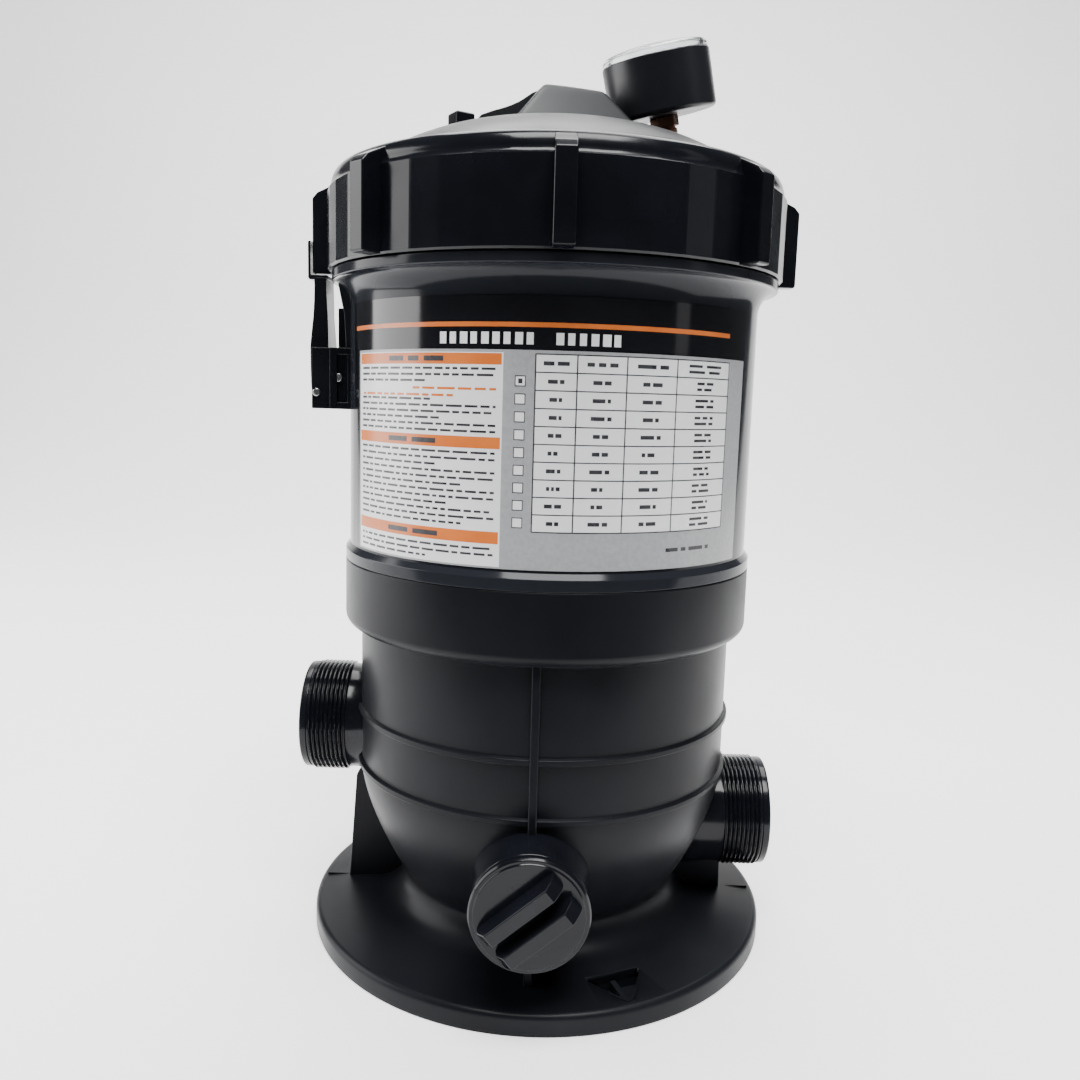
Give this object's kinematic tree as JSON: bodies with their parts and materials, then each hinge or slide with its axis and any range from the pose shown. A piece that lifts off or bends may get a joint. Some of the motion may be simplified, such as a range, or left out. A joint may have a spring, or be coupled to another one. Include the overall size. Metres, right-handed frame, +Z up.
{
  "type": "cartridge filter housing",
  "caption": "Upright filter tank on a round foot with side ports, a front drain, a ribbed lock ring, a lid with a pressure gauge and a pleated element inside.",
  "frame": {"origin": "on the tank's axis at the plane of the foot, in the middle of the anchor holes", "axes": "+Z up the tank, the drain faces -Y, the inlet port faces -X and the outlet port +X"},
  "size_m": [0.2536, 0.261, 0.47],
  "materials": {
    "satin_black": "satin, fine moulded grain",
    "gloss_black": "gloss",
    "tank_grey": "gloss",
    "seal_rubber": "matt",
    "label_film": "printed film under a clear coat",
    "white_plastic": "satin",
    "steel": "bright",
    "spring_steel": "bright",
    "filter_media": "spun fibre",
    "cap_blue": "cast, satin",
    "brass": "machined",
    "gauge_black": "semi gloss",
    "dial_white": "matt",
    "pointer_black": "matt",
    "clear_lens": "clear"
  },
  "bodies": {
    "housing": {"foot": "satin_black", "lower_body": "satin_black", "inlet_port": "gloss_black", "outlet_port": "gloss_black", "tank_shell": "tank_grey", "seam_oring": "seal_rubber", "label": "label_film", "outlet_pipe": "white_plastic", "element_seat": "white_plastic", "air_bleed_tube": "white_plastic", "bleed_screen": "white_plastic", "latch_bracket": "gloss_black", "bracket_screws": "steel", "latch_pin": "steel", "latch_spring": "spring_steel"},
    "latch": {"latch_lever": "gloss_black"},
    "filter_element": {"pleated_media": "filter_media", "element_core": "white_plastic", "element_top_cap": "cap_blue", "element_bottom_cap": "cap_blue"},
    "lid": {"lid_shell": "tank_grey", "lid_oring": "seal_rubber", "relief_washer": "seal_rubber", "gauge_stem": "brass", "stem_washer": "white_plastic", "gauge_case": "gauge_black", "gauge_tube": "brass", "gauge_dial": "dial_white", "gauge_lens": "clear_lens"},
    "lock_ring": {"lock_ring": "gloss_black"},
    "relief_valve": {"relief_knob": "gloss_black"},
    "gauge_needle": {"gauge_pointer": "pointer_black"},
    "drain_seal": {"drain_oring": "seal_rubber"},
    "drain_plug": {"drain_plug": "gloss_black"}
  },
  "joints": [
    {"name": "lid_lift", "type": "slide", "parent": "housing", "child": "lid", "axis": [0, 0, 1], "range_m": [0, 0.32]},
    {"name": "ring_turn", "type": "hinge", "parent": "lid", "child": "lock_ring", "pos_m": [0, 0, 0.367], "axis": [0, 0, 1], "range_deg": [0, 90]},
    {"name": "element_lift", "type": "slide", "parent": "housing", "child": "filter_element", "axis": [0, 0, 1], "range_m": [0, 0.16]},
    {"name": "latch_swing", "type": "hinge", "parent": "housing", "child": "latch", "pos_m": [-0.1206, -0.0033, 0.2833], "axis": [0, -1, 0], "range_deg": [0, 35], "stiffness_Nm_per_rad": 0.05},
    {"name": "relief_turn", "type": "hinge", "parent": "lid", "child": "relief_valve", "pos_m": [-0.0485, -0.01576, 0.416], "axis": [0, 0, 1], "range_deg": [0, 270]},
    {"name": "gauge_needle_turn", "type": "hinge", "parent": "lid", "child": "gauge_needle", "pos_m": [0.05373, 0.01746, 0.4365], "axis": [-0.2215, -0.1736, 0.9596], "range_deg": [-270, 0], "stiffness_Nm_per_rad": 0.0005},
    {"name": "drain_travel", "type": "slide", "parent": "housing", "child": "drain_seal", "axis": [0, -1, 0], "range_m": [0, 0.0092]},
    {"name": "drain_turn", "type": "hinge", "parent": "drain_seal", "child": "drain_plug", "pos_m": [-0.0029, -0.112, 0.059], "axis": [0, -1, 0], "range_deg": [0, 1440]}
  ],
  "couplings": [
    {"joint": "element_lift", "follows": "lid_lift", "ratio": 0.5},
    {"joint": "drain_turn", "follows": "drain_travel", "rad_per_m": 2721.2}
  ]
}
